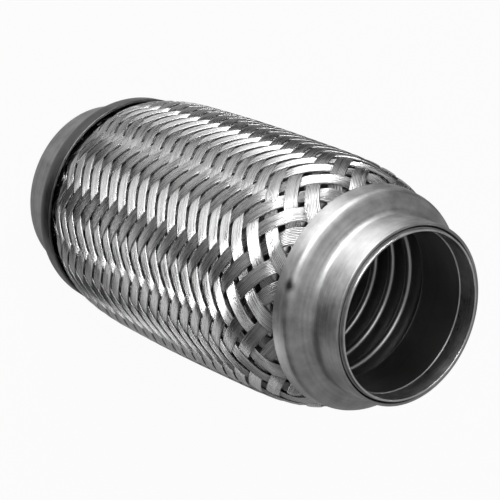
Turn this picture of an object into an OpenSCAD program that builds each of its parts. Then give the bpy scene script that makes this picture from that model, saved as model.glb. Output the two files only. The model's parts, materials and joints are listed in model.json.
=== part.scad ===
// Flexible exhaust pipe: a corrugated tube in a woven wire braid,
// held at both ends by a stepped collar outside and a short ring inside.
// The pipe stands on its rear end, with its axis on Z.

/* [Pipe] */
// Inside diameter at both ends
bore_d = 50.8; // [44:0.1:60]
// Length from one collar lip to the other
pipe_len = 154; // [140:1:190]

/* [Inner rings] */
// Wall of the inner rings
ring_wall = 0.65; // [0.5:0.05:1]
// Length of the inner rings
ring_len = 6.6; // [4:0.1:12]
// How far the inner rings stand out of the collar lips
ring_proud = 1; // [0.5:0.1:2]

/* [Bellows] */
// Wall of the corrugated tube
bellows_wall = 0.25; // [0.2:0.05:0.35]
// Length of its straight cuffs, from the lip to the first root
cuff_len = 22.05; // [20:0.05:26]
// Number of corrugations
crests = 14; // [10:1:17]
// Height of the corrugations above the cuffs
crest_h = 9; // [7:0.1:9.5]
// Mean radius of the sheet where it turns at a root
root_bend = 1.3; // [0.8:0.05:1.6]

/* [Braid] */
// Number of strands that turn each way
strands = 24; // [20:4:28]
// Width of one flat strand
strand_w = 4.2; // [3:0.1:4.5]
// Thickness of one flat strand
strand_t = 0.45; // [0.35:0.05:0.55]
// Advance along the pipe while a strand moves on by its neighbour's place
braid_pitch = 5.15; // [4.8:0.05:8]
// How much wider the braid is spread at the front collar than in the middle
front_spread_share = 0.57; // [0.3:0.01:0.7]
// Rows of open gaps between the spread strands
gap_rows = 4; // [1:1:4]
// How far the braid stands off the corrugations where it is widest
braid_slack = 2.9; // [1.8:0.1:4]

/* [Collars] */
// Wall of the drawn collars
collar_wall = 0.9; // [0.7:0.05:1.2]
// Length of the straight neck, from the lip
neck_len = 9.3; // [8.5:0.1:10]
// Length of a collar from its lip to the free edge of its skirt
collar_len = 20.7; // [19.5:0.1:22]
// Height of the step from the neck to the skirt
skirt_rise = 6.3; // [6:0.1:6.8]
// How far the skirt opens out towards its free edge
skirt_flare = 0.35; // [0.2:0.05:0.8]
// Outer radius of the hollow between neck and shoulder
neck_fillet = 2.8; // [2:0.1:3.2]
// Outer radius of the shoulder
shoulder_bend = 3.8; // [3:0.1:4.2]
// Slope of the shoulder, from the pipe's axis
shoulder_deg = 60; // [58:1:75]

/* [Hidden] */
$fn = 96;

// Fits between the nested pieces at the necks, and the crushed braid there
fit_gap = 0.04;
braid_end_t = 0.48;
// Clearance from the braid to the skirts and to the corrugations
skirt_gap = 0.35;
crest_gap = 0.4;
// Rounding of the thin metal edges
edge_round_share = 0.3;
// Depth below the lips at which the braid and the bellows end
braid_recess = 0.5;
cuff_recess = 0.3;
arc_steps = 5;

// Radii from the bore outwards
bore_r = bore_d / 2;
ring_out_r = bore_r + ring_wall;
cuff_in_r = ring_out_r + fit_gap;
cuff_out_r = cuff_in_r + bellows_wall;
neck_in_r = cuff_out_r + braid_end_t + 2 * fit_gap;
neck_r = neck_in_r + collar_wall;
skirt_r = neck_r + skirt_rise;
skirt_in_r = skirt_r - collar_wall;
crest_r = cuff_out_r + crest_h;

// Heights of the lips, the pipe's ends and the skirts' free edges
rear_lip_z = ring_proud;
front_lip_z = rear_lip_z + pipe_len;
total_len = front_lip_z + ring_proud;
rear_skirt_z = rear_lip_z + collar_len;
front_skirt_z = front_lip_z - collar_len;

// Depth below the lip at which the shoulder ends and the skirt begins
bend_sum = neck_fillet + shoulder_bend;
slope_rise = skirt_rise - bend_sum * (1 - cos(shoulder_deg));
skirt_start = neck_len + bend_sum * sin(shoulder_deg) + slope_rise / tan(shoulder_deg);

// Points of an arc in radius and height
function arc(cr, cz, r, from, to, steps = arc_steps) = [
    for (i = [0 : steps])
        let (a = from + (to - from) * i / steps)
            [cr + r * cos(a), cz + r * sin(a)]
];

// Outline of the collar's bend from neck to skirt, at a depth inside its outer surface
function collar_bend(inset, steps = arc_steps) = concat(
    arc(neck_r + neck_fillet, -neck_len, neck_fillet + inset, 180, 180 + shoulder_deg, steps),
    arc(skirt_r - shoulder_bend, -skirt_start, shoulder_bend - inset, shoulder_deg, 0, steps)
);

function reversed(list) = [for (i = [len(list) - 1 : -1 : 0]) list[i]];

// Collar, hanging from its lip at zero height
module collar_profile() {
    edge_round = collar_wall * edge_round_share;
    flared_r = skirt_r + skirt_flare;
    polygon(concat(
        arc(neck_r - edge_round, -edge_round, edge_round, 90, 0),
        collar_bend(0),
        arc(flared_r - edge_round, edge_round - collar_len, edge_round, 0, -90),
        arc(flared_r - collar_wall + edge_round, edge_round - collar_len, edge_round, -90, -180),
        reversed(collar_bend(collar_wall)),
        arc(neck_in_r + edge_round, -edge_round, edge_round, 180, 90)
    ));
}

module front_collar() {
    color("silver")
        translate([0, 0, front_lip_z])
            rotate_extrude() collar_profile();
}

module rear_collar() {
    color("silver")
        translate([0, 0, rear_lip_z])
            mirror([0, 0, 1])
                rotate_extrude() collar_profile();
}

// Inner ring, standing on its outer end at zero height
module ring_profile() {
    edge_round = ring_wall * edge_round_share;
    polygon(concat(
        arc(ring_out_r - edge_round, edge_round, edge_round, -90, 0),
        arc(ring_out_r - edge_round, ring_len - edge_round, edge_round, 0, 90),
        arc(bore_r + edge_round, ring_len - edge_round, edge_round, 90, 180),
        arc(bore_r + edge_round, edge_round, edge_round, 180, 270)
    ));
}

module rear_inner_ring() {
    color("lightgray")
        rotate_extrude() ring_profile();
}

module front_inner_ring() {
    color("lightgray")
        translate([0, 0, total_len])
            mirror([0, 0, 1])
                rotate_extrude() ring_profile();
}

// Rows of the braid's lattice run up the pipe, half steps of a strand run round it.
// Gaps between strands and crossings of strands take turns on both.
turn_steps = 2 * strands;
step_deg = 360 / turn_steps;
// Direction of the first strand that lies on top at the odd rows
first_deg = -97.25;
// The lattice starts and ends this far under the skirts
underlap = 2;
lattice_start = rear_skirt_z - underlap;
lattice_len = front_skirt_z + underlap - lattice_start;

// The rows are spread out over the last ones before the front collar
function ease(x) = let (c = min(max(x, 0), 1)) c * c * (3 - 2 * c);
spread_rows = 8;
spread_ramp = 5;
function sum(list, i = 0) = i < len(list) ? list[i] + sum(list, i + 1) : 0;
spread_sum = sum([for (i = [0 : spread_rows - 1]) front_spread_share * ease(i / spread_ramp)]);
row_target = 2 * lattice_len / braid_pitch - spread_sum;
braid_rows = 2 * floor(row_target / 2) + 1;
row_h = lattice_len / (braid_rows + spread_sum);
function row_step(q) = row_h * (1 + front_spread_share * ease((q - braid_rows + spread_rows) / spread_ramp));
row_table = [for (q = 0, z = lattice_start; q <= braid_rows; z = z + row_step(q), q = q + 1) [q, z]];
function row_z(q) = lookup(q, row_table);

// Bulge of the braid between the skirts, as shares of its free length and of its full height.
// It starts this far outside the skirts' free edges.
bulge_start = 0.8;
bulge_shares = [
    [0, 0], [0.014, 0.2], [0.032, 0.44], [0.068, 0.61], [0.104, 0.725], [0.14, 0.8], [0.176, 0.85],
    [0.25, 0.9], [0.39, 0.975], [0.54, 1], [0.72, 0.985], [0.79, 0.97], [0.86, 0.915],
    [0.9, 0.82], [0.935, 0.69], [0.97, 0.48], [0.986, 0.25], [1, 0]
];
bulge_low_z = rear_skirt_z + bulge_start;
bulge_high_z = front_skirt_z - bulge_start;
braid_wall = 2 * strand_t;
braid_edge_r = skirt_in_r - skirt_gap;
bulge_h = crest_r + braid_wall + braid_slack - braid_edge_r;
function braid_r(z) = braid_edge_r
    + bulge_h * lookup((z - bulge_low_z) / (bulge_high_z - bulge_low_z), bulge_shares);
function valley_r(z) = braid_r(z) - strand_t;
function inside_r(z) = braid_r(z) - braid_wall;

// Open gaps stand at the last rows before the front skirt
last_gap_row = braid_rows - 2;
first_gap_row = last_gap_row - gap_rows + 1;
function is_open(q) = q >= first_gap_row && q <= last_gap_row;

// Size of an open gap in half steps, from the space that the strands leave
least_gap_share = 0.1;
function gap_share(q) =
    let (z = row_z(q))
    let (side = braid_r(z) * 2 * PI / strands)
    let (advance = row_z(q + 1) - row_z(q - 1))
    max(least_gap_share, 1 - strand_w * norm([side, advance]) / (side * advance));

// Corners of a gap, as steps round and rows up from its middle
EAST = 0;
NORTH = 1;
WEST = 2;
SOUTH = 3;
gap_corners = [[1, 0], [0, 1], [-1, 0], [0, -1]];

function on_braid(r, h, z) = [r * cos(first_deg + h * step_deg), r * sin(first_deg + h * step_deg), z];
function wrapped(h) = (h % turn_steps + turn_steps) % turn_steps;
function row_steps(q) = [for (i = [0 : strands - 1]) 2 * i + q % 2];

// The inside of the braid is plain up to this row, and has the lattice from there on
inner_start = braid_rows - 7;
outer_points = [
    for (q = [0 : braid_rows], h = row_steps(q), c = gap_corners)
        let (g = is_open(q) ? gap_share(q) : 0)
        let (z = row_z(q + g * c[1]))
            on_braid(valley_r(z), h + g * c[0], z)
];
inner_points = [
    for (q = [inner_start : braid_rows], h = row_steps(q), c = gap_corners)
        let (g = is_open(q) ? gap_share(q) : 0)
        let (z = row_z(q + g * c[1]))
            on_braid(inside_r(z), h + g * c[0], z)
];
function place(q, h, corner) = 4 * (q * strands + floor(wrapped(h) / 2)) + (is_open(q) ? corner : 0);
function outer(q, h, corner = 0) = place(q, h, corner);
function inner(q, h, corner = 0) = len(outer_points) + place(q - inner_start, h, 0)
    + (is_open(q) ? corner : 0);

// A float is the stretch of a strand that lies on top of two others.
// Its crown is inset by this share of the strand's spacing.
crown_share = 0.2;
c1 = 1 - crown_share;
c2 = 2 * c1;
rising_crown = [[0, 1 - c2], [c1, crown_share], [c2, 1], [1, c2], [crown_share, c1], [1 - c2, 0]];
falling_crown = [[0, 1 - c2], [c2 - 1, 0], [-crown_share, c1], [-1, c2], [-c2, 1], [-c1, crown_share]];
floats = [
    for (q = [1 : braid_rows - 2], i = [0 : strands / 2 - 1])
        [q, 4 * i + (q % 2 == 1 ? 0 : 3)]
];
function is_rising(q) = q % 2 == 1;
crown_points = [
    for (f = floats, p = is_rising(f[0]) ? rising_crown : falling_crown)
        let (z = row_z(f[0] + p[1]))
            on_braid(braid_r(z), f[1] + p[0], z)
];
crown_start = len(outer_points) + len(inner_points);

// Border of a float, anticlockwise from below, and the crown point next to each border point
function rising_border(q, h) = [
    outer(q - 1, h, NORTH), outer(q, h + 1, WEST), outer(q, h + 1, NORTH), outer(q + 1, h + 2, WEST),
    outer(q + 2, h + 1, SOUTH), outer(q + 1, h, EAST), outer(q + 1, h, SOUTH), outer(q, h - 1, EAST)
];
rising_mates = [0, 1, 1, 2, 3, 4, 4, 5];
function falling_border(q, h) = [
    outer(q - 1, h, NORTH), outer(q, h + 1, WEST), outer(q + 1, h, SOUTH), outer(q + 1, h, WEST),
    outer(q + 2, h - 1, SOUTH), outer(q + 1, h - 2, EAST), outer(q, h - 1, NORTH), outer(q, h - 1, EAST)
];
falling_mates = [0, 1, 2, 2, 3, 4, 5, 5];
rising_tops = [[0, 1, 4], [0, 4, 5], [1, 2, 3], [1, 3, 4]];
falling_tops = [[0, 1, 2], [0, 2, 5], [2, 3, 4], [2, 4, 5]];

function float_faces(border, mates, tops, start) = concat(
    [for (i = [0 : len(border) - 1], side = [0, 1])
        let (n = (i + 1) % len(border))
            side == 0 ? [border[i], border[n], start + mates[n]]
                      : [border[i], start + mates[n], start + mates[i]]],
    [for (t = tops) [start + t[0], start + t[1], start + t[2]]]
);
crown_faces = [
    for (i = [0 : len(floats) - 1])
        let (q = floats[i][0], h = floats[i][1], start = crown_start + len(rising_crown) * i)
            each is_rising(q) ? float_faces(rising_border(q, h), rising_mates, rising_tops, start)
                              : float_faces(falling_border(q, h), falling_mates, falling_tops, start)
];

// Crossings whose float would reach past the lattice are plain
edge_cells = [
    for (i = [0 : strands / 2 - 1]) each [
        [outer(0, 4 * i + 2), outer(1, 4 * i + 3), outer(2, 4 * i + 2), outer(1, 4 * i + 1)],
        [outer(braid_rows - 2, 4 * i + 3, NORTH), outer(braid_rows - 1, 4 * i + 4),
         outer(braid_rows, 4 * i + 3), outer(braid_rows - 1, 4 * i + 2)]
    ]
];

// Strips between two neighbouring gaps, leaving out those under a float
function has_float(q, h) = q >= 1 && q <= braid_rows - 2
    && wrapped(h) % 4 == (is_rising(q) ? 0 : 3);
outer_strips = [
    for (q = [0 : braid_rows - 1], h = row_steps(q)) each [
        if (!(!is_rising(q) && has_float(q, h + 1)))
            [outer(q, h, EAST), outer(q + 1, h + 1, SOUTH), outer(q + 1, h + 1, WEST), outer(q, h, NORTH)],
        if (!(is_rising(q) && has_float(q, h - 1)))
            [outer(q, h, NORTH), outer(q + 1, h - 1, EAST), outer(q + 1, h - 1, SOUTH), outer(q, h, WEST)]
    ]
];
inner_strips = [
    for (q = [inner_start : braid_rows - 1], h = row_steps(q)) each [
        [inner(q, h, NORTH), inner(q + 1, h + 1, WEST), inner(q + 1, h + 1, SOUTH), inner(q, h, EAST)],
        [inner(q, h, WEST), inner(q + 1, h - 1, SOUTH), inner(q + 1, h - 1, EAST), inner(q, h, NORTH)]
    ]
];
inner_cells = [
    for (q = [inner_start + 1 : braid_rows - 1], h = row_steps(q + 1))
        [inner(q, h - 1, EAST), inner(q + 1, h, SOUTH), inner(q, h + 1, WEST), inner(q - 1, h, NORTH)]
];
gap_walls = [
    for (q = [first_gap_row : last_gap_row], h = row_steps(q), c = [EAST : SOUTH])
        let (n = (c + 1) % 4)
            [outer(q, h, c), outer(q, h, n), inner(q, h, n), inner(q, h, c)]
];

// Notches between the lattice's first or last two rows
notches = concat(
    [for (h = row_steps(0)) [outer(0, h), outer(0, h + 2), outer(1, h + 1)]],
    [for (h = row_steps(1)) [outer(braid_rows, h + 2), outer(braid_rows, h), outer(braid_rows - 1, h + 1)]],
    [for (h = row_steps(0)) [inner(inner_start, h + 2), inner(inner_start, h), inner(inner_start + 1, h + 1)]],
    [for (h = row_steps(1)) [inner(braid_rows, h), inner(braid_rows, h + 2), inner(braid_rows - 1, h + 1)]]
);

// Plain rings of the braid: along the inside, and under both collars
flat_cos = cos(step_deg);
outside_steps = 3;
inside_steps = 2;
cuff_side_r = (cuff_out_r + fit_gap) / flat_cos;
outside_bend = collar_bend(collar_wall + skirt_gap, outside_steps);
inside_bend = collar_bend(collar_wall + skirt_gap + strand_t, inside_steps);
under_collar = concat(
    [for (i = [len(inside_bend) - 1 : -1 : 1]) inside_bend[i]],
    [[cuff_side_r, -neck_len], [cuff_side_r, -braid_recess], [neck_in_r - fit_gap, -braid_recess],
     [neck_in_r - fit_gap, -neck_len]],
    [for (i = [1 : len(outside_bend) - 1]) outside_bend[i]]
);
inner_ring_rows = 4;
inside_path = [
    for (q = [inner_start - inner_ring_rows : -inner_ring_rows : 0])
        [inside_r(row_z(q)), row_z(q)]
];
rear_path = concat(inside_path, [for (p = under_collar) [p[0], rear_lip_z - p[1]]]);
front_path = [for (p = reversed(under_collar)) [p[0], front_lip_z + p[1]]];
rear_start = crown_start + len(crown_points);
front_start = rear_start + strands * len(rear_path);
ring_points = concat(
    [for (p = rear_path, h = row_steps(0)) on_braid(p[0], h, p[1])],
    [for (p = front_path, h = row_steps(1)) on_braid(p[0], h, p[1])]
);
function ring_row(start, i) = [for (n = [0 : strands - 1]) start + strands * i + n];
rear_rows = concat(
    [[for (h = row_steps(0)) inner(inner_start, h)]],
    [for (i = [0 : len(rear_path) - 1]) ring_row(rear_start, i)],
    [[for (h = row_steps(0)) outer(0, h)]]
);
front_rows = concat(
    [[for (h = row_steps(1)) outer(braid_rows, h)]],
    [for (i = [0 : len(front_path) - 1]) ring_row(front_start, i)],
    [[for (h = row_steps(1)) inner(braid_rows, h)]]
);
function band_quads(rows) = [
    for (i = [0 : len(rows) - 2], n = [0 : strands - 1])
        let (m = (n + 1) % strands)
            [rows[i][n], rows[i][m], rows[i + 1][m], rows[i + 1][n]]
];

function halves(quads) = [for (f = quads) each [[f[0], f[1], f[2]], [f[0], f[2], f[3]]]];
braid_faces = concat(
    crown_faces,
    notches,
    halves(concat(edge_cells, outer_strips, inner_strips, inner_cells, gap_walls,
                  band_quads(rear_rows), band_quads(front_rows)))
);

module outer_braid() {
    color("gainsboro")
        polyhedron(
            points = concat(outer_points, inner_points, crown_points, ring_points),
            faces = [for (f = braid_faces) if (f[0] != f[1] && f[1] != f[2] && f[2] != f[0]) reversed(f)],
            convexity = 10
        );
}

// Corrugated tube: the middle of its sheet turns about these radii
root_mid_r = cuff_in_r + bellows_wall / 2;
crest_pitch = (pipe_len - 2 * cuff_len) / crests;
crest_bend = crest_pitch / 2 - root_bend;
first_root_z = rear_lip_z + cuff_len;
function root_z(i) = first_root_z + crest_pitch * i;
function crest_z(i) = root_z(i + 1 / 2);
function clear_r(z) = (z > row_z(inner_start) ? inside_r(z)
    : lookup(z, [for (p = reversed(inside_path)) [p[1], p[0]]])) * flat_cos - crest_gap;
// Highest crest whose whole arc stays clear of the braid
crest_out = crest_bend + bellows_wall / 2;
function crest_clear_r(i) = min([
    for (a = [-60 : 30 : 60])
        clear_r(crest_z(i) + crest_out * sin(a)) + crest_out * (1 - cos(a))
]);
function crest_mid_r(i) = min(crest_r, crest_clear_r(i)) - bellows_wall / 2;

// One side of the sheet, from the rear cuff to the front one
function bellows_side(offset) = [
    for (i = [0 : crests]) each concat(
        arc(root_mid_r + root_bend, root_z(i), root_bend - offset,
            i == 0 ? 180 : 270, i == crests ? 180 : 90),
        i == crests ? [] : arc(crest_mid_r(i) - crest_bend, crest_z(i), crest_bend + offset, -90, 90)
    )
];

module bellows() {
    cuff_start_z = rear_lip_z + cuff_recess;
    cuff_end_z = front_lip_z - cuff_recess;
    color("darkgray")
        rotate_extrude()
            polygon(concat(
                [[cuff_in_r, cuff_start_z], [cuff_out_r, cuff_start_z]],
                bellows_side(bellows_wall / 2),
                [[cuff_out_r, cuff_end_z], [cuff_in_r, cuff_end_z]],
                reversed(bellows_side(-bellows_wall / 2))
            ));
}

bellows();
outer_braid();
front_collar();
rear_collar();
front_inner_ring();
rear_inner_ring();
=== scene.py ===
"""The flexible exhaust pipe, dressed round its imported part: collars, rings, bellows and woven braid."""
import json
import math
import random

import bpy
from mathutils import Matrix, Vector


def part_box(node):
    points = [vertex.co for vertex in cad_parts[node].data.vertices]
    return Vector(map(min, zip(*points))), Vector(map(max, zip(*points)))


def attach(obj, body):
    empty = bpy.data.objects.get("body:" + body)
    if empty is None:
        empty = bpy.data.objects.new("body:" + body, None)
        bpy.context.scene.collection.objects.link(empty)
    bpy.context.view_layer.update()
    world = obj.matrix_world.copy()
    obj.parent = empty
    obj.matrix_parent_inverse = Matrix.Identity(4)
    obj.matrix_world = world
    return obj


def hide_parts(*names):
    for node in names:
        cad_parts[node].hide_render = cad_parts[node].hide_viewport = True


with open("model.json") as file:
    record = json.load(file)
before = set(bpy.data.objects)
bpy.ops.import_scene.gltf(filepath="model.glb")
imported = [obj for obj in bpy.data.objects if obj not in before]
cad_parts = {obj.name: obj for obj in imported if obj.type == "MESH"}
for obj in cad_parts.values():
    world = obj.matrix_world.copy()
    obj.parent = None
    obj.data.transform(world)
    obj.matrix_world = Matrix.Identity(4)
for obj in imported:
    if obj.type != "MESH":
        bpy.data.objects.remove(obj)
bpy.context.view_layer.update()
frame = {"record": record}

MM = 0.001


def mount(name):
    """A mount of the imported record, by name."""
    return next(m for m in frame["record"]["mounts"] if m["name"] == name)


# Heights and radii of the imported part
BORE_R = mount("front_bore")["dims"]["r_mm"] * MM
NECK_R = mount("front_neck")["dims"]["r_mm"] * MM
RING_LEN = mount("front_bore")["dims"]["length_mm"] * MM
TOTAL_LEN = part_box("front_inner_ring")[1][2]
RING_OUT_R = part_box("front_inner_ring")[1][0]
REAR_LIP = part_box("rear_collar")[0][2]
FRONT_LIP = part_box("front_collar")[1][2]
REAR_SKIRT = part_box("rear_collar")[1][2]
FRONT_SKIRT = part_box("front_collar")[0][2]
FLARE_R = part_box("front_collar")[1][0]
CREST_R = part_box("bellows")[1][0]
BRAID_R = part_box("outer_braid")[1][0]

# Turned pieces
SIDES = 144
MERGE_DISTANCE = 0.001 * MM
EDGE_SEGMENTS = 3
SHARP_DEG = 60
SMOOTH_DEG = 40

# Collars
COLLAR_WALL = 0.9 * MM
COLLAR_EDGE = 0.25 * MM
NECK_LEN = 9.3 * MM
NECK_FILLET = 2.8 * MM
SHOULDER_BEND = 3.8 * MM
SHOULDER_DEG = 60
SKIRT_FLARE = 0.35 * MM
SKIRT_R = FLARE_R - SKIRT_FLARE

# Inner rings, with the inner end turned in a little
RING_WALL = RING_OUT_R - BORE_R
RING_EDGE = 0.2 * MM
TURN_IN = 0.3 * MM
TURN_LEN = 0.35 * MM

# Bellows
BELLOWS_SIDES = 96
SHEET = 0.25 * MM
SHEET_EDGE = 0.05 * MM
FIT_GAP = 0.04 * MM
CUFF_R = RING_OUT_R + FIT_GAP
CUFF_LEN = 22.05 * MM
CUFF_RECESS = 0.3 * MM
CRESTS = 14
ROOT_BEND = 1.3 * MM
CREST_ROOM = 0.7 * MM

# Strands of the braid, each a flat row of round wires
STRANDS = 24
WIRES = 10
WIRE_D = 0.42 * MM
WIRE_DEPTH = 0.08 * MM
EDGE_DROP = 0.1 * MM
STRAND_W = WIRES * WIRE_D
STRAND_T = 0.45 * MM
STRAND_SMOOTH_DEG = 75

# Numbers kept for the wires of each strand, and where the rising strands' numbers start
STRAND_NUMBERS = 20
RISING_NUMBERS = 500

# Weave: how full, how wavy and how deep it is, and how long a strand stays up before it dives
MOST_FILL = 0.75
SWAY = 0.035
WEAVE_SWING = 0.25 * MM
UP_HALF = 1.35
DIVE_LEN = 1.3
FLAT_SHARE = 0.72
SAMPLES = 4

# Rows of crossings up the pipe, of which the last few are spread apart at the front collar
BRAID_PITCH = 5.15 * MM
FIRST_DEG = -97.25
UNDERLAP = 2.0 * MM
SKIRT_GAP = 0.35 * MM
FRONT_SPREAD = 0.57
SPREAD_ROWS = 8
SPREAD_RAMP = 5

# Bulge of the braid between the skirts: share of the length, share of the full height
BULGE_START = 0.8 * MM
BULGE_SHARES = [
    (0, 0), (0.014, 0.2), (0.032, 0.44), (0.068, 0.61), (0.104, 0.725), (0.14, 0.8), (0.176, 0.85),
    (0.25, 0.9), (0.39, 0.975), (0.54, 1), (0.72, 0.985), (0.79, 0.97), (0.86, 0.915),
    (0.9, 0.82), (0.935, 0.69), (0.97, 0.48), (0.986, 0.25), (1, 0),
]


# Outlines and turned pieces

def arc(r, z, radius, start, end, steps=8):
    """Points in radius and height along an arc."""
    angles = [math.radians(start + (end - start) * i / steps) for i in range(steps + 1)]
    return [(r + radius * math.cos(a), z + radius * math.sin(a)) for a in angles]


def flipped(outline, top):
    """The same outline for the other end of the pipe."""
    return [(r, top - z) for r, z in outline]


def only(ob):
    """Select one object and make it active."""
    bpy.ops.object.select_all(action="DESELECT")
    ob.select_set(True)
    bpy.context.view_layer.objects.active = ob


def turned(name, outline, sides=SIDES):
    """Turn an outline on the pipe's axis: a ring of points is extruded from one station to the next."""
    bpy.ops.object.select_all(action="DESELECT")
    r, z = outline[0]
    bpy.ops.mesh.primitive_circle_add(vertices=sides, radius=r, location=(0, 0, z))
    ob = bpy.context.object
    ob.name = name
    bpy.ops.object.mode_set(mode="EDIT")
    bpy.ops.mesh.select_all(action="SELECT")
    for next_r, next_z in outline[1:]:
        bpy.ops.mesh.extrude_region_move(TRANSFORM_OT_translate={"value": (0, 0, next_z - z)})
        bpy.ops.transform.resize(value=(next_r / r, next_r / r, 1), center_override=(0, 0, next_z))
        r, z = next_r, next_z
    bpy.ops.object.mode_set(mode="OBJECT")
    bpy.ops.object.transform_apply(location=True, rotation=True, scale=True)
    return ob


def walled(ob, wall, side, edge):
    """Give a turned sheet its wall on one side, and round its free edges."""
    solid = ob.modifiers.new("wall", "SOLIDIFY")
    solid.thickness = wall
    solid.offset = side
    solid.use_even_offset = True
    bevel = ob.modifiers.new("edge", "BEVEL")
    bevel.width = edge
    bevel.segments = EDGE_SEGMENTS
    bevel.limit_method = "ANGLE"
    bevel.angle_limit = math.radians(SHARP_DEG)
    only(ob)
    for modifier in list(ob.modifiers):
        bpy.ops.object.modifier_apply(modifier=modifier.name)
    bpy.ops.object.mode_set(mode="EDIT")
    bpy.ops.mesh.select_all(action="SELECT")
    bpy.ops.mesh.remove_doubles(threshold=MERGE_DISTANCE)
    bpy.ops.mesh.normals_make_consistent(inside=False)
    bpy.ops.object.mode_set(mode="OBJECT")
    bpy.ops.object.shade_smooth_by_angle(angle=math.radians(SMOOTH_DEG))
    return ob


def finish_piece(ob, node, slot, finish=None):
    """Give a piece its finish, hang it on the root body, and hide the imported part that it stands for."""
    ob.data.materials.clear()
    ob.data.materials.append(FINISHES[finish or slot])
    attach(ob, "root")
    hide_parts(node)


def collar_outline():
    """Outside of the rear collar, from its lip to the free edge of the skirt."""
    bend = NECK_FILLET + SHOULDER_BEND
    slope = math.radians(SHOULDER_DEG)
    rise = (SKIRT_R - NECK_R) - bend * (1 - math.cos(slope))
    skirt_start = NECK_LEN + bend * math.sin(slope) + rise / math.tan(slope)
    fillet = arc(NECK_R + NECK_FILLET, -NECK_LEN, NECK_FILLET, 180, 180 + SHOULDER_DEG)
    shoulder = arc(SKIRT_R - SHOULDER_BEND, -skirt_start, SHOULDER_BEND, SHOULDER_DEG, 0)
    downward = [(NECK_R, 0)] + fillet + shoulder + [(FLARE_R, -(REAR_SKIRT - REAR_LIP))]
    return flipped(downward, REAR_LIP)


def make_collar(name, outline, node, finish):
    """One drawn collar."""
    ob = walled(turned(name, outline), COLLAR_WALL, -1, COLLAR_EDGE)
    finish_piece(ob, node, "collar_steel", finish)


def ring_outline():
    """Inside of the rear inner ring, from its outer end inwards."""
    return [(BORE_R, 0), (BORE_R, RING_LEN - TURN_LEN), (BORE_R - TURN_IN, RING_LEN)]


def make_ring(name, outline, node):
    """One inner ring."""
    ob = walled(turned(name, outline), RING_WALL, 1, RING_EDGE)
    finish_piece(ob, node, "ring_steel")


# Braid: rows run up the pipe and half steps of a strand run round it

STEP_RAD = math.pi / STRANDS
LATTICE_START = REAR_SKIRT - UNDERLAP
LATTICE_LEN = FRONT_SKIRT + UNDERLAP - LATTICE_START
EDGE_R = SKIRT_R - COLLAR_WALL - SKIRT_GAP


def ease(x):
    """Smooth step from 0 to 1."""
    x = min(max(x, 0.0), 1.0)
    return x * x * (3 - 2 * x)


def spread(x):
    """How much longer a row is near the front collar, counted in rows from the last plain one."""
    return 1 + FRONT_SPREAD * ease(x / SPREAD_RAMP)


SPREAD_SUM = sum(spread(i) - 1 for i in range(SPREAD_ROWS))
ROWS = 2 * math.floor((2 * LATTICE_LEN / BRAID_PITCH - SPREAD_SUM) / 2) + 1
ROW_H = LATTICE_LEN / (ROWS + SPREAD_SUM)


def row_heights():
    """Height of every row, with one more at either end."""
    heights = [LATTICE_START - ROW_H, LATTICE_START]
    for row in range(ROWS + 1):
        heights.append(heights[-1] + ROW_H * spread(row - ROWS + SPREAD_ROWS))
    return heights


ROW_Z = row_heights()


def row_z(q):
    """Height of a place counted in rows."""
    q = min(max(q + 1, 0), len(ROW_Z) - 1.001)
    i = int(q)
    return ROW_Z[i] + (ROW_Z[i + 1] - ROW_Z[i]) * (q - i)


def between(table, x):
    """Value at x on the straight lines between a table's points."""
    if x <= table[0][0]:
        return table[0][1]
    for (x0, y0), (x1, y1) in zip(table, table[1:]):
        if x <= x1:
            return y0 + (y1 - y0) * (x - x0) / (x1 - x0)
    return table[-1][1]


def braid_r(z):
    """Outer radius of the braid."""
    low, high = REAR_SKIRT + BULGE_START, FRONT_SKIRT - BULGE_START
    share = (z - low) / (high - low)
    return EDGE_R + (BRAID_R - EDGE_R) * between(BULGE_SHARES, share)


def lift(phase):
    """Height of a strand over the middle of the weave, -1 to 1, four crossings to a turn of the phase."""
    distance = abs((phase + 4) % 8 - 4)
    plateau = 1 - 2 * ease((distance - UP_HALF) / DIVE_LEN)
    return FLAT_SHARE * plateau + (1 - FLAT_SHARE) * math.cos(distance * math.pi / 4)


def half_fill(q):
    """Half width of a strand in half steps, at a place counted in rows."""
    side = 2 * braid_r(row_z(q)) * STEP_RAD
    advance = row_z(q + 1) - row_z(q - 1)
    return min(MOST_FILL, STRAND_W * math.hypot(side, advance) / (side * advance))


def section():
    """Points across a strand: share of its half width, height over its middle, and wire count across."""
    top = []
    for i in range(2 * WIRES + 1):
        share = i / WIRES - 1
        height = WIRE_D / 2 - (WIRE_DEPTH if i % 2 == 0 else 0) - EDGE_DROP * share ** 4
        top.append((share, height, i / 2))
    under = [(1, -WIRE_D / 2, WIRES), (0, -WIRE_D / 2, WIRES / 2), (-1, -WIRE_D / 2, 0)]
    return top + under


def strand_points(index, rising, draw):
    """Rings of points along one strand, each with its place, its UV and its level in the weave."""
    sway = [draw.uniform(-1, 1) for _ in range(ROWS + 4)]
    way = 1 if rising else -1
    late = 2 if rising else 4
    first_wire = STRAND_NUMBERS * index + (RISING_NUMBERS if rising else 0)
    across = section()
    rings = []
    count = (ROWS + 2) * SAMPLES
    for n in range(count + 1):
        q = -1 + (ROWS + 2) * n / count
        i = int(q + 1)
        drift = SWAY * (sway[i] + (sway[i + 1] - sway[i]) * (q + 1 - i))
        fill = half_fill(q)
        ring = []
        for share, height, wire in across:
            aside = (share * fill + drift) / 2
            h = 2 * index + way * (q - 1) + aside
            row = q - way * aside
            level = lift(h + way * row + 2 * index - late)
            z = row_z(row)
            radius = braid_r(z) - STRAND_T + WEAVE_SWING * level + height
            angle = math.radians(FIRST_DEG) + h * STEP_RAD
            place = (radius * math.cos(angle), radius * math.sin(angle), z)
            ring.append((place, (first_wire + wire, n / SAMPLES), level))
        rings.append(ring)
    return rings


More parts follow.
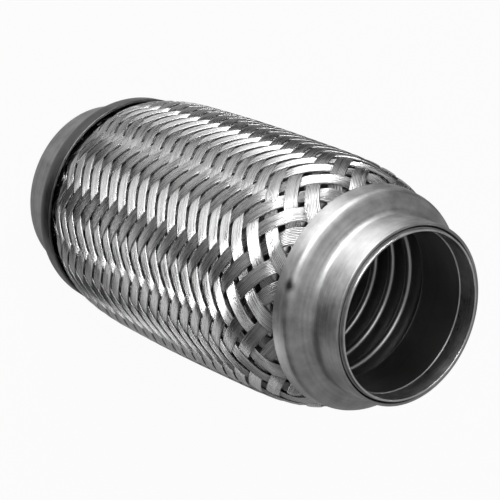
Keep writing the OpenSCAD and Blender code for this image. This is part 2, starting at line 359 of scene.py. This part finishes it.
def strands_mesh(name, indices, rising, seed):
    """Flat strands of side-by-side wires, as one mesh."""
    draw = random.Random(seed)
    points, levels, faces, uvs = [], [], [], []
    for index in indices:
        rings = strand_points(index, rising, draw)
        start = len(points)
        size = len(rings[0])
        last = size * (len(rings) - 1)
        points += [place for ring in rings for place, _, _ in ring]
        coords = [uv for ring in rings for _, uv, _ in ring]
        levels += [level for ring in rings for _, _, level in ring]
        strand = []
        for n in range(0, last, size):
            for k in range(size):
                a, b = n + k, n + (k + 1) % size
                strand.append((a, b, b + size, a + size))
        strand += [range(size - 1, -1, -1), range(last, last + size)]
        faces += [[start + v for v in face] for face in strand]
        uvs += [number for face in strand for v in face for number in coords[v]]
    mesh = bpy.data.meshes.new(name)
    mesh.from_pydata(points, [], faces)
    mesh.uv_layers.new(name="wires").data.foreach_set("uv", uvs)
    mesh.attributes.new("level", "FLOAT", "POINT").data.foreach_set("value", levels)
    ob = bpy.data.objects.new(name, mesh)
    bpy.context.scene.collection.objects.link(ob)
    only(ob)
    bpy.ops.object.mode_set(mode="EDIT")
    bpy.ops.mesh.select_all(action="SELECT")
    bpy.ops.mesh.normals_make_consistent(inside=False)
    bpy.ops.object.mode_set(mode="OBJECT")
    bpy.ops.object.shade_smooth_by_angle(angle=math.radians(STRAND_SMOOTH_DEG))
    return ob


def make_strands(name, rising, first, seed):
    """One piece of the braid: half of the strands that run one way."""
    ob = strands_mesh(name, range(first, first + STRANDS // 2), rising, seed)
    finish_piece(ob, "outer_braid", "braid_wire")


# Bellows

def bellows_outline():
    """Middle of the corrugated sheet, from the rear cuff to the front one."""
    middle_r = CUFF_R + SHEET / 2
    pitch = (FRONT_LIP - REAR_LIP - 2 * CUFF_LEN) / CRESTS
    crest_bend = pitch / 2 - ROOT_BEND
    outline = [(middle_r, REAR_LIP + CUFF_RECESS)]
    for i in range(CRESTS + 1):
        root_z = REAR_LIP + CUFF_LEN + pitch * i
        start = 180 if i == 0 else 270
        end = 180 if i == CRESTS else 90
        outline += arc(middle_r + ROOT_BEND, root_z, ROOT_BEND, start, end)
        if i < CRESTS:
            crest_z = root_z + pitch / 2
            crest_r = min(CREST_R, braid_r(crest_z) - 2 * STRAND_T - CREST_ROOM) - SHEET / 2
            outline += arc(crest_r - crest_bend, crest_z, crest_bend, -90, 90)
    return outline + [(middle_r, FRONT_LIP - CUFF_RECESS)]


def make_bellows():
    """The corrugated tube."""
    ob = walled(turned("bellows_tube", bellows_outline(), BELLOWS_SIDES), SHEET, 0, SHEET_EDGE)
    finish_piece(ob, "bellows", "bellows_steel")


# Shader maths

class Value:
    """A shader socket whose operators add Math nodes."""

    def __init__(self, finish, socket):
        self.finish = finish
        self.socket = socket

    def maths(self, operation, *terms):
        return self.finish.node("ShaderNodeMath", {"operation": operation}, dict(enumerate(terms)))

    def __add__(self, other):
        return self.maths("ADD", self, other)

    __radd__ = __add__

    def __sub__(self, other):
        return self.maths("SUBTRACT", self, other)

    def __rsub__(self, other):
        return self.maths("SUBTRACT", other, self)

    def __mul__(self, other):
        return self.maths("MULTIPLY", self, other)

    __rmul__ = __mul__

    def __truediv__(self, other):
        return self.maths("DIVIDE", self, other)

    def __rtruediv__(self, other):
        return self.maths("DIVIDE", other, self)

    def floor(self):
        return self.maths("FLOOR", self)

    def sine(self):
        return self.maths("SINE", self)

    def cosine(self):
        return self.maths("COSINE", self)

    def clamped(self):
        return self.maths("MINIMUM", self.maths("MAXIMUM", self, 0.0), 1.0)


class Finish:
    """A material whose nodes are added by one method."""

    def __init__(self, name):
        self.material = bpy.data.materials.new(name)
        self.material.use_nodes = True
        self.tree = self.material.node_tree
        self.tree.nodes.clear()

    def node(self, kind, settings=None, inputs=None, output=0):
        """Add a node: its settings first, then its values and links."""
        made = self.tree.nodes.new(kind)
        for key, value in (settings or {}).items():
            setattr(made, key, value)
        for key, value in (inputs or {}).items():
            if isinstance(value, Value):
                self.tree.links.new(value.socket, made.inputs[key])
            else:
                made.inputs[key].default_value = value
        if made.outputs:
            return Value(self, made.outputs[output])

    def place(self):
        """Object coordinates."""
        return self.node("ShaderNodeTexCoord", output="Object")

    def noise(self, vector, detail=2.0, roughness=0.5):
        """Noise of one number, whose cells are one unit of the vector."""
        return self.node("ShaderNodeTexNoise", {}, {"Vector": vector, "Scale": 1.0, "Detail": detail,
                                                    "Roughness": roughness})

    def grain(self, per_metre, detail=2.0, roughness=0.5):
        """Noise over the piece, with so many cells to a metre on each axis."""
        spot = self.node("ShaderNodeMapping", inputs={"Vector": self.place(), "Scale": per_metre})
        return self.noise(spot, detail, roughness)

    def triple(self, x, y, z):
        """A vector from three numbers."""
        return self.node("ShaderNodeCombineXYZ", {}, {0: x, 1: y, 2: z})

    def part(self, vector, axis):
        """One of the three numbers of a vector."""
        return self.node("ShaderNodeSeparateXYZ", {}, {0: vector}, output=axis)

    def distance(self, start, end):
        """How far one place is from another."""
        settings = {"operation": "DISTANCE"}
        return self.node("ShaderNodeVectorMath", settings, {0: start, 1: end}, output="Value")

    def relief(self, height, strength, depth):
        """A normal from a height field."""
        return self.node("ShaderNodeBump", {}, {"Height": height, "Strength": strength, "Distance": depth})

    def surface(self, shader):
        """The finished material."""
        self.node("ShaderNodeOutputMaterial", {}, {"Surface": shader})
        return self.material

    def metal(self, tone, roughness, normal):
        """Bare metal from its grey tone, roughness and normal."""
        return self.surface(self.node("ShaderNodeBsdfPrincipled", {}, {
            "Base Color": self.triple(tone, tone, tone), "Metallic": 1.0, "Roughness": roughness,
            "Normal": normal}))


# Finishes

# Sheet steel: over what height a skirt takes its painted shade, and the size, tone and frayed edge of a
# stain
SKIRT_FADE = 3 * MM
STAIN_R = 1.8 * MM
STAIN_HEART = 0.4
STAIN_TONE = 0.15
STAIN_FRAY = 1.6 * MM
STAIN_PLACE = (0.0052, -0.0340, 0.1390)
NO_STAIN = (0, 0, -1)

# Wire: how far its round top leans at its edges, and how much painted shade it takes low in the weave and at
# the rear skirt
WIRE_ROUND = math.radians(60)
WEAVE_SHADE_TONE = 0.3
LEVEL_GAIN = 0.9
SHADED_TONE = 0.4
SHADED_LEN = 2.5 * MM


def drawn_steel(name, tone, rough, skirt_shade=1.0, stain=NO_STAIN):
    """Sheet steel drawn over a die: fine lines round the pipe, soft smudges, maybe a dark stain, and maybe
    painted shade that darkens the skirt.
    """
    f = Finish(name)
    lines = f.grain((12, 12, 2200), roughness=0.6)
    bands = f.grain((14, 14, 420))
    smudge = f.grain((150, 150, 190), detail=5.0, roughness=0.65)
    away = f.distance(f.place(), stain)
    outside = ((away + STAIN_FRAY * (smudge - 0.5)) / STAIN_R - STAIN_HEART).clamped()
    clean = STAIN_TONE + (1 - STAIN_TONE) * outside
    height = f.part(f.place(), "Z")
    on_skirt = ((height - (REAR_LIP + NECK_LEN)) / SKIRT_FADE).clamped()
    # Painted shade: the skirt is darkened to stand in for the dark surroundings it reflects
    shade = clean * tone * (1 + (skirt_shade - 1) * on_skirt)
    shade = shade * (1 + 0.5 * (lines - 0.5) + 0.5 * (bands - 0.5) + 1.1 * (smudge - 0.5))
    roughness = rough + 0.25 * (smudge - 0.5) + 0.2 * (lines - 0.5)
    return f.metal(shade, roughness, f.relief(lines + bands + smudge, strength=0.25, depth=0.1 * MM))


def bellows_steel(name):
    """Rolled thin sheet."""
    f = Finish(name)
    lines = f.grain((4, 4, 600))
    smudge = f.grain((60, 60, 60), detail=3.0)
    shade = 0.5 + 0.1 * (lines - 0.5) + 0.16 * (smudge - 0.5)
    return f.metal(shade, 0.3 + 0.1 * (smudge - 0.5), f.relief(lines, strength=0.08, depth=0.2 * MM))


def braid_wire(name):
    """Bright drawn wire: round wires side by side, each with its own tone and streaks along it, with painted
    shade low in the weave and next to the rear skirt.
    """
    f = Finish(name)
    wires = f.node("ShaderNodeUVMap", {"uv_map": "wires"})
    across, along = f.part(wires, "X"), f.part(wires, "Y")
    wire = across.floor()
    lean = (2 * (across - wire) - 1) * WIRE_ROUND
    facing = f.triple(0.5 + 0.5 * lean.sine(), 0.5, 0.5 + 0.5 * lean.cosine())
    own = f.node("ShaderNodeTexWhiteNoise", {"noise_dimensions": "1D"}, {"W": wire})
    streaks = f.noise(f.triple(across * 1.5, along * 0.35, 0.0))
    level = f.node("ShaderNodeAttribute", {"attribute_name": "level"}, output="Fac")
    # Painted shade: the wire darkens where it lies low in the weave, in the slits between the floats
    weave_shade = WEAVE_SHADE_TONE + (1 - WEAVE_SHADE_TONE) * (LEVEL_GAIN * level + LEVEL_GAIN).clamped()
    height = f.part(f.place(), "Z")
    # Painted shadow: the braid darkens towards the rear skirt's edge, where the skirt shades it
    off_skirt = ((height - REAR_SKIRT) / SHADED_LEN).clamped()
    shade = weave_shade * (SHADED_TONE + (1 - SHADED_TONE) * off_skirt)
    shade = shade * (0.58 + 0.14 * (own - 0.5) + 0.12 * (streaks - 0.5))
    roughness = 0.28 + 0.1 * (own - 0.5) + 0.1 * (streaks - 0.5)
    normal = f.node("ShaderNodeNormalMap", {"uv_map": "wires"}, {"Color": facing, "Strength": 1.0})
    return f.metal(shade, roughness, normal)


FINISHES = {
    "collar_steel": drawn_steel("collar_steel", tone=0.46, rough=0.5, stain=STAIN_PLACE),
    # Painted shade: the rear collar is a darker copy of the collar steel, and its skirt is darker still
    "shaded_rear_steel": drawn_steel("shaded_rear_steel", tone=0.38, rough=0.34, skirt_shade=0.42),
    "ring_steel": drawn_steel("ring_steel", tone=0.75, rough=0.32),
    "bellows_steel": bellows_steel("bellows_steel"),
    "braid_wire": braid_wire("braid_wire"),
}

# Camera, floor and lights

CAMERA_PLACE = Vector((0, -0.5071, 0.6338))
CAMERA_PITCH = 47.456
CAMERA_ROLL = 112.285
CAMERA_LENS = 172.8
CAMERA_SENSOR = 36
CAMERA_REACH = 20

FLOOR_HALF = 6
FLOOR_TONE = 0.8
FLOOR_TO_CAMERA = 0.95
FLOOR_TO_METAL = 0.12
CARD_TONE = 0.06
CARD_HEIGHT = 0.002
ROOM_LEVEL = 0.3
PANEL_HEIGHT = 0.004
PIPE_MIDDLE = Vector((0, 0, 0.08))

# Dark cards on the floor, beside the picture: their corners
CARDS = [
    ("card_left", [(-2.5, -2.5), (-0.047, -2.5), (-0.047, -0.072), (-0.126, 0.144), (-0.45, 1.03),
                   (-2.5, 1.03)]),
    ("card_front", [(-0.047, -2.5), (2.5, -2.5), (2.5, 1.2361), (-0.047, -0.072)]),
]
# Lamps on the floor: angle round the pipe, distance, size and level
LOW_PANELS = [
    ("panel_left", -135, 0.31, (0.11, 0.26), 3.4),
    ("panel_far_left", -157, 0.31, (0.11, 0.26), 1.5),
    ("near_left", -160, 0.13, (0.045, 0.09), 1.2),
    ("near_middle", -135, 0.125, (0.045, 0.09), 1.4),
    ("near_front", -110, 0.125, (0.045, 0.09), 1.8),
    ("panel_right", -12, 0.145, (0.07, 0.09), 2.5),
]
# Lamps on stands: angle round the pipe, distance, height, size and level
SOFTBOXES = [
    ("side_front", -112, 1.2, 0.06, (0.5, 0.4), 14),
    ("side_left", -150, 1.2, 0.06, (0.5, 0.4), 18),
    ("side_middle", -120, 1.2, 0.2, (0.6, 0.4), 5),
    ("high_front", -120, 0.75, 0.95, (0.7, 0.5), 1.5),
]


def make_camera():
    """The photograph's view: looking down at the mouth, with the camera rolled."""
    pitch, roll = math.radians(CAMERA_PITCH), math.radians(CAMERA_ROLL)
    forward = Vector((0, math.cos(pitch), -math.sin(pitch)))
    right = forward.cross(Vector((0, 0, 1))).normalized()
    up = right.cross(forward)
    x = right * math.cos(roll) + up * math.sin(roll)
    y = up * math.cos(roll) - right * math.sin(roll)
    data = bpy.data.cameras.new("camera")
    data.lens = CAMERA_LENS
    data.sensor_width = CAMERA_SENSOR
    data.clip_end = CAMERA_REACH
    camera = bpy.data.objects.new("camera", data)
    camera.matrix_world = Matrix.Translation(CAMERA_PLACE) @ Matrix((x, y, -forward)).transposed().to_4x4()
    bpy.context.scene.collection.objects.link(camera)
    bpy.context.scene.camera = camera


def round_the_pipe(deg, distance, height):
    """A place at an angle and a distance round the pipe."""
    angle = math.radians(deg)
    return Vector((distance * math.cos(angle), distance * math.sin(angle), height))


def lamp(name, place, turn, size, level):
    """A rectangular lamp of even brightness, which the camera doesn't see."""
    data = bpy.data.lights.new(name, "AREA")
    data.shape = "RECTANGLE"
    data.size, data.size_y = size
    data.energy = math.pi * size[0] * size[1] * level
    ob = bpy.data.objects.new(name, data)
    ob.location = place
    ob.rotation_euler = turn
    ob.visible_camera = False
    bpy.context.scene.collection.objects.link(ob)


def softbox(name, deg, distance, height, size, level):
    """A lamp that faces the middle of the pipe."""
    place = round_the_pipe(deg, distance, height)
    lamp(name, place, (place - PIPE_MIDDLE).to_track_quat("Z", "Y").to_euler(), size, level)


def low_panel(name, deg, distance, size, level):
    """A lamp on the floor, beside the picture, that shines straight up."""
    place = round_the_pipe(deg, distance, PANEL_HEIGHT)
    lamp(name, place, (math.pi, 0, math.radians(deg - 90)), size, level)


def flat_sheet(name, corners, height, material):
    """A flat sheet under the pipe."""
    mesh = bpy.data.meshes.new(name)
    mesh.from_pydata([(x, y, height) for x, y in corners], [], [range(len(corners))])
    mesh.materials.append(material)
    ob = bpy.data.objects.new(name, mesh)
    bpy.context.scene.collection.objects.link(ob)
    return ob


def white_floor(name):
    """Pale and matt under the lamps, a little brighter in the metal, and nearly full white to the camera."""
    f = Finish(name)
    camera, glossy, through = (f.node("ShaderNodeLightPath", output=kind) for kind in
                               ("Is Camera Ray", "Is Glossy Ray", "Is Transmission Ray"))
    seen = FLOOR_TO_CAMERA * camera + FLOOR_TO_METAL * (glossy + through)
    matt = f.node("ShaderNodeBsdfDiffuse", {}, {"Color": (FLOOR_TONE, FLOOR_TONE, FLOOR_TONE, 1)})
    white = f.node("ShaderNodeEmission", {}, {"Color": (1, 1, 1, 1), "Strength": 1.0})
    return f.surface(f.node("ShaderNodeMixShader", {}, {0: seen, 1: matt, 2: white}))


def make_floor():
    """The floor, wide enough for every view."""
    half = FLOOR_HALF
    flat_sheet("floor", [(-half, -half), (half, -half), (half, half), (-half, half)], 0.0,
               white_floor("white_floor"))


def grey_card(name, corners):
    """A dark grey card beside the picture, that only the metal sees."""
    f = Finish(name)
    shader = f.node("ShaderNodeBsdfDiffuse", {}, {"Color": (CARD_TONE, CARD_TONE, CARD_TONE, 1)})
    card = flat_sheet(name, corners, CARD_HEIGHT, f.surface(shader))
    card.visible_camera = False
    card.visible_shadow = False
    card.visible_diffuse = False


def make_world():
    """Dim, even light from the room."""
    world = bpy.data.worlds.new("studio")
    bpy.context.scene.world = world
    world.use_nodes = True
    background = world.node_tree.nodes["Background"]
    background.inputs["Color"].default_value = (ROOM_LEVEL, ROOM_LEVEL, ROOM_LEVEL, 1)


make_camera()
make_floor()
make_world()
for card in CARDS:
    grey_card(*card)
for panel in LOW_PANELS:
    low_panel(*panel)
for box in SOFTBOXES:
    softbox(*box)

make_collar("collar_front", flipped(collar_outline(), TOTAL_LEN), "front_collar", "collar_steel")
make_collar("collar_rear", collar_outline(), "rear_collar", "shaded_rear_steel")
make_ring("ring_front", flipped(ring_outline(), TOTAL_LEN), "front_inner_ring")
make_ring("ring_rear", ring_outline(), "rear_inner_ring")
make_bellows()
make_strands("rising_strands_a", True, 0, seed=11)
make_strands("rising_strands_b", True, STRANDS // 2, seed=12)
make_strands("falling_strands_a", False, 0, seed=21)
make_strands("falling_strands_b", False, STRANDS // 2, seed=22)

bpy.context.scene.view_settings.view_transform = "Standard"
